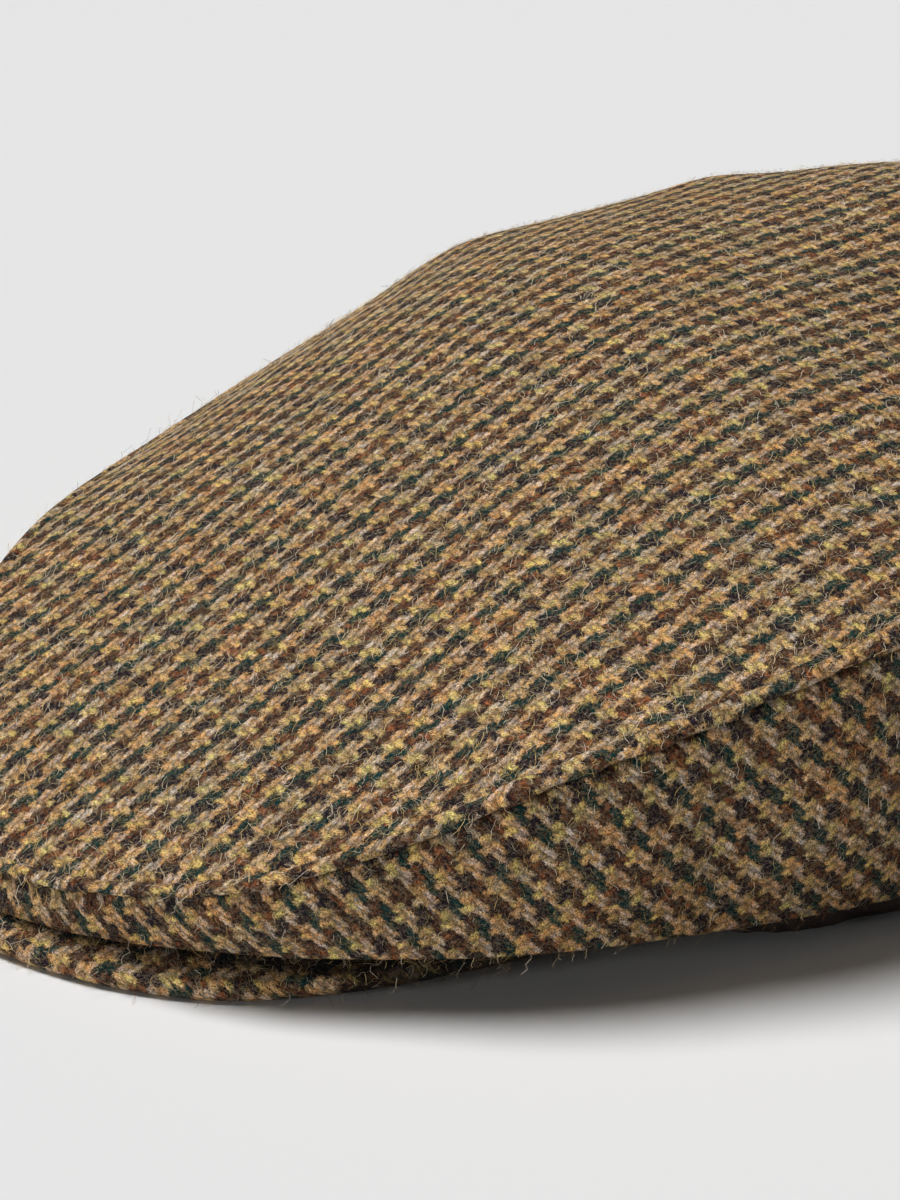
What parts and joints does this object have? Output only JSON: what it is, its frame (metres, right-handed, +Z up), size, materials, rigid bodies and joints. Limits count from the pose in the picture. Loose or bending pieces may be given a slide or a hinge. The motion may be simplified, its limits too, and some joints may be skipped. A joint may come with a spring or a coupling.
{
  "type": "flat cap",
  "caption": "Flat cap in checked tweed with a rounded top panel, curved side panels, a short stiff peak and a satin lining.",
  "frame": {"origin": "middle of the cap's length and width, on the surface it lies on", "axes": "+Z up, -Y to the front where the peak is, +X to the wearer's left"},
  "size_m": [0.209, 0.2744, 0.0894],
  "materials": {
    "tweed": "milled wool, checked twill weave",
    "satin": "dark brown lining cloth with a soft sheen"
  },
  "bodies": {
    "root": {"top_panel": "tweed", "side_panel_left": "tweed", "side_panel_right": "tweed", "peak": "tweed", "lining": "satin"}
  },
  "joints": []
}
